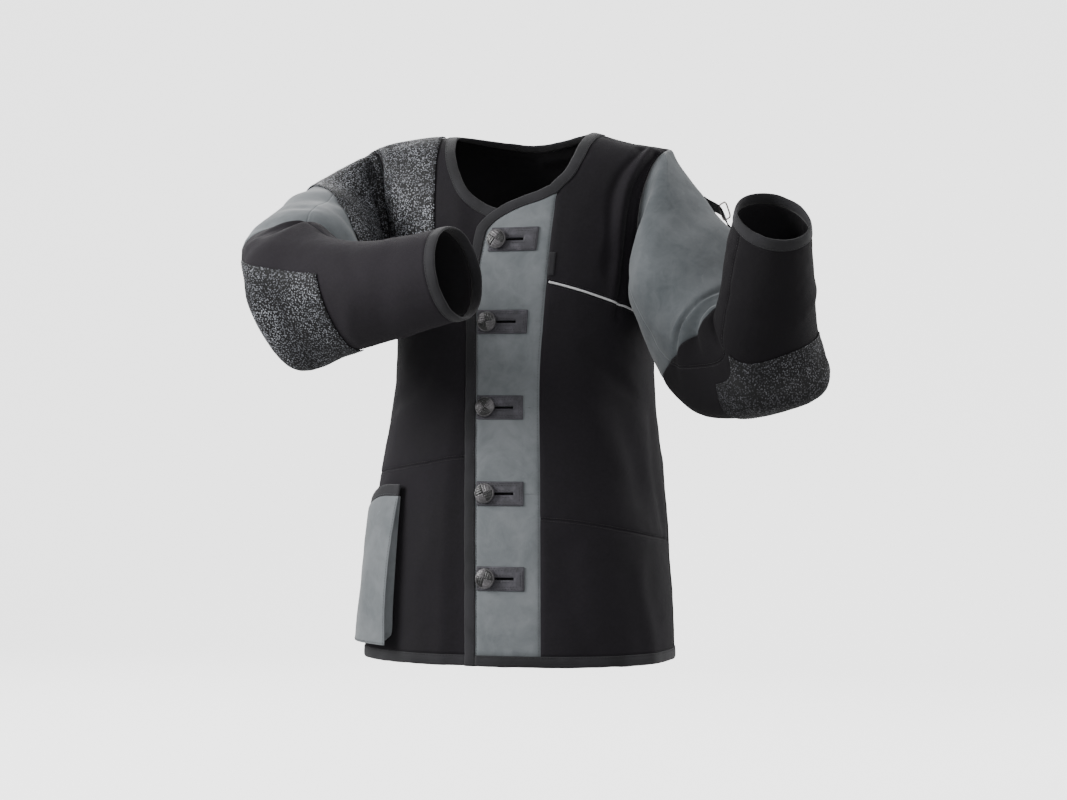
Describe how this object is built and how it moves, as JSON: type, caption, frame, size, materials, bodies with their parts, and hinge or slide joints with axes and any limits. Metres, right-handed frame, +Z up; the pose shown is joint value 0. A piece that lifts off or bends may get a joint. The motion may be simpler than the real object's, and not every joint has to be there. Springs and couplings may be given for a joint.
{
  "type": "shooting jacket",
  "caption": "Black and grey shooting jacket with a pebbled butt patch, bent sleeves, five buttoned leather tabs and a bellows pocket.",
  "frame": {"origin": "midway between the two neck points, on the shoulder seams, where the wearer's shoulders carry the jacket", "axes": "+Z up, -Y out of the chest, +X towards the wearer's left sleeve"},
  "size_m": [0.7665, 0.5306, 0.7105],
  "materials": {
    "canvas": "matt black canvas",
    "charcoal": "matt charcoal canvas",
    "suede": "brushed grey suede",
    "grip": "pebbled grip cloth",
    "tape": "matt folded tape",
    "tab_leather": "smooth dark grey leather",
    "button_leather": "glossy braided leather",
    "piping": "white cord",
    "webbing": "woven black webbing",
    "wire": "bright wire"
  },
  "bodies": {
    "root": {"back": "canvas", "front_left_body": "canvas", "front_left_skirt": "canvas", "front_left_yoke": "canvas", "front_right_skirt": "canvas", "front_right_upper": "canvas", "forearm_left_inner": "charcoal", "forearm_left_outer": "charcoal", "forearm_right_inner": "charcoal", "forearm_right_outer": "charcoal", "placket": "suede", "pocket_face": "suede", "pocket_gusset": "suede", "sleeve_left_inner": "suede", "sleeve_left_outer": "suede", "sleeve_right_inner": "suede", "sleeve_right_outer": "suede", "patch_elbow_left": "grip", "patch_elbow_right": "grip", "patch_head_right": "grip", "patch_shoulder": "grip", "binding_cuff_left": "tape", "binding_cuff_right": "tape", "binding_front_and_neck": "tape", "binding_hem": "tape", "label": "tape", "pocket_binding": "tape", "tab_1": "tab_leather", "tab_2": "tab_leather", "tab_3": "tab_leather", "tab_4": "tab_leather", "tab_5": "tab_leather", "button_1": "button_leather", "button_2": "button_leather", "button_3": "button_leather", "button_4": "button_leather", "button_5": "button_leather", "piping_left": "piping", "strap_left": "webbing", "buckle_left": "wire"}
  },
  "joints": []
}
